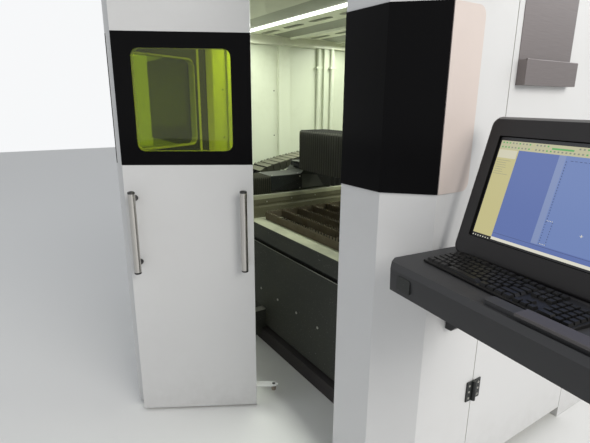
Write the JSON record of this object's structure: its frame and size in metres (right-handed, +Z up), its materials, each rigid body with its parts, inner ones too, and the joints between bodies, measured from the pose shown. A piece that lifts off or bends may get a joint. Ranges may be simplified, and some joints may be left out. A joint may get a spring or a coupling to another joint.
{
  "type": "fiber laser cutting machine",
  "caption": "Enclosed fiber laser cutting machine with a folding front door, moving gantry over a slatted bed and a swivelling operator console.",
  "frame": {"origin": "on the floor under the middle of the enclosure's footprint", "axes": "+Z up, -Y out through the doorway, +X towards the console side"},
  "size_m": [3.5055, 4.1638, 2.3406],
  "materials": {
    "white_paint": "matt white powder coat",
    "gloss_black": "gloss black panel",
    "satin_grey": "satin light grey",
    "aluminium": "plain aluminium",
    "lamp_white": "lit white diffuser",
    "machine_black": "satin black paint",
    "stainless": "brushed stainless steel",
    "laser_window": "yellow-green laser safety window",
    "bed_grey": "dark grey paint, dusty",
    "slat_steel": "burnt bare steel",
    "rail_steel": "ground steel",
    "pleat_fabric": "coated pleated fabric",
    "chain_black": "matt dark plastic, dusty",
    "cover_grey": "coated pleated fabric, dusty",
    "copper": "turned copper",
    "charcoal": "fine textured charcoal paint",
    "key_black": "matt black plastic",
    "screen_glow": "lit display"
  },
  "bodies": {
    "root": {"right_pillar": "white_paint", "left_pillar": "white_paint", "right_pillar_band": "gloss_black", "left_pillar_band": "gloss_black", "side_inset": "satin_grey", "front_header": "white_paint", "door_track": "aluminium", "front_panel": "white_paint", "front_panel_band": "gloss_black", "left_wall": "white_paint", "rear_wall": "white_paint", "right_wall": "white_paint", "roof": "white_paint", "exhaust_collar": "aluminium", "ceiling": "white_paint", "lamp_strip_front": "lamp_white", "lamp_strip_rear": "lamp_white", "lower_hinge": "machine_black", "upper_hinge": "machine_black", "bed_frame": "bed_grey", "bed_front_panel": "bed_grey", "front_service_block": "bed_grey", "slat_table": "slat_steel", "left_rail": "rail_steel", "right_rail": "rail_steel", "left_front_guard": "pleat_fabric", "left_rear_guard": "pleat_fabric", "right_front_guard": "pleat_fabric", "right_rear_guard": "pleat_fabric", "energy_chain": "chain_black", "chain_tray": "aluminium", "laser_source_cabinet": "white_paint", "console_bracket": "charcoal"},
    "inner_leaf": {"inner_leaf": "white_paint", "inner_band": "gloss_black", "inner_window": "laser_window"},
    "outer_leaf": {"outer_leaf": "white_paint", "outer_band": "gloss_black", "outer_window": "laser_window", "track_hanger": "stainless", "left_handle": "stainless", "right_handle": "stainless", "guide_arm": "white_paint"},
    "guide_roller": {"guide_roller": "satin_grey"},
    "side_door": {"side_door": "white_paint", "document_pocket": "stainless"},
    "side_latch": {"side_latch": "machine_black"},
    "gantry": {"left_truck": "machine_black", "right_truck": "machine_black", "gantry_beam": "machine_black", "left_beam_cover": "cover_grey", "right_beam_cover": "cover_grey"},
    "carriage": {"head_carriage": "machine_black"},
    "cutting_head": {"cutting_head": "aluminium", "nozzle": "copper"},
    "console": {"console_arm": "charcoal", "console_tray": "charcoal", "keyboard": "key_black", "monitor_housing": "charcoal", "monitor_screen": "screen_glow"}
  },
  "joints": [
    {"name": "inner_leaf_hinge", "type": "hinge", "parent": "root", "child": "inner_leaf", "pos_m": [-0.1, -1.8415, 1.05], "axis": [0, 0, 1], "range_deg": [-24, 61]},
    {"name": "outer_leaf_fold", "type": "hinge", "parent": "inner_leaf", "child": "outer_leaf", "pos_m": [0.17392, -2.33566, 1.05], "axis": [0, 0, 1], "range_deg": [-122, 48]},
    {"name": "guide_roller_spin", "type": "hinge", "parent": "outer_leaf", "child": "guide_roller", "pos_m": [0.52114, -1.75979, 0.0907], "axis": [0, 0, 1], "continuous": true},
    {"name": "side_door_hinge", "type": "hinge", "parent": "root", "child": "side_door", "pos_m": [1.4093, -1.364, 1.1], "axis": [0, 0, 1], "range_deg": [-90, 0]},
    {"name": "side_latch_turn", "type": "hinge", "parent": "side_door", "child": "side_latch", "pos_m": [1.4, -0.6655, 1.05], "axis": [1, 0, 0], "range_deg": [0, 90]},
    {"name": "gantry_slide", "type": "slide", "parent": "root", "child": "gantry", "axis": [0, 1, 0], "range_m": [0, 1.95], "deforming": ["left_front_guard", "left_rear_guard", "right_front_guard", "right_rear_guard", "energy_chain"]},
    {"name": "carriage_slide", "type": "slide", "parent": "gantry", "child": "carriage", "axis": [1, 0, 0], "range_m": [-0.56, 0.32], "deforming": ["left_beam_cover", "right_beam_cover"]},
    {"name": "head_lift_slide", "type": "slide", "parent": "carriage", "child": "cutting_head", "axis": [0, 0, 1], "range_m": [-0.03, 0.12]},
    {"name": "console_swivel", "type": "hinge", "parent": "root", "child": "console", "pos_m": [1.455, -1.5, 0.9], "axis": [0, 0, 1], "range_deg": [0, 75]}
  ],
  "couplings": [
    {"joint": "outer_leaf_fold", "follows": "inner_leaf_hinge", "ratio": -2}
  ]
}
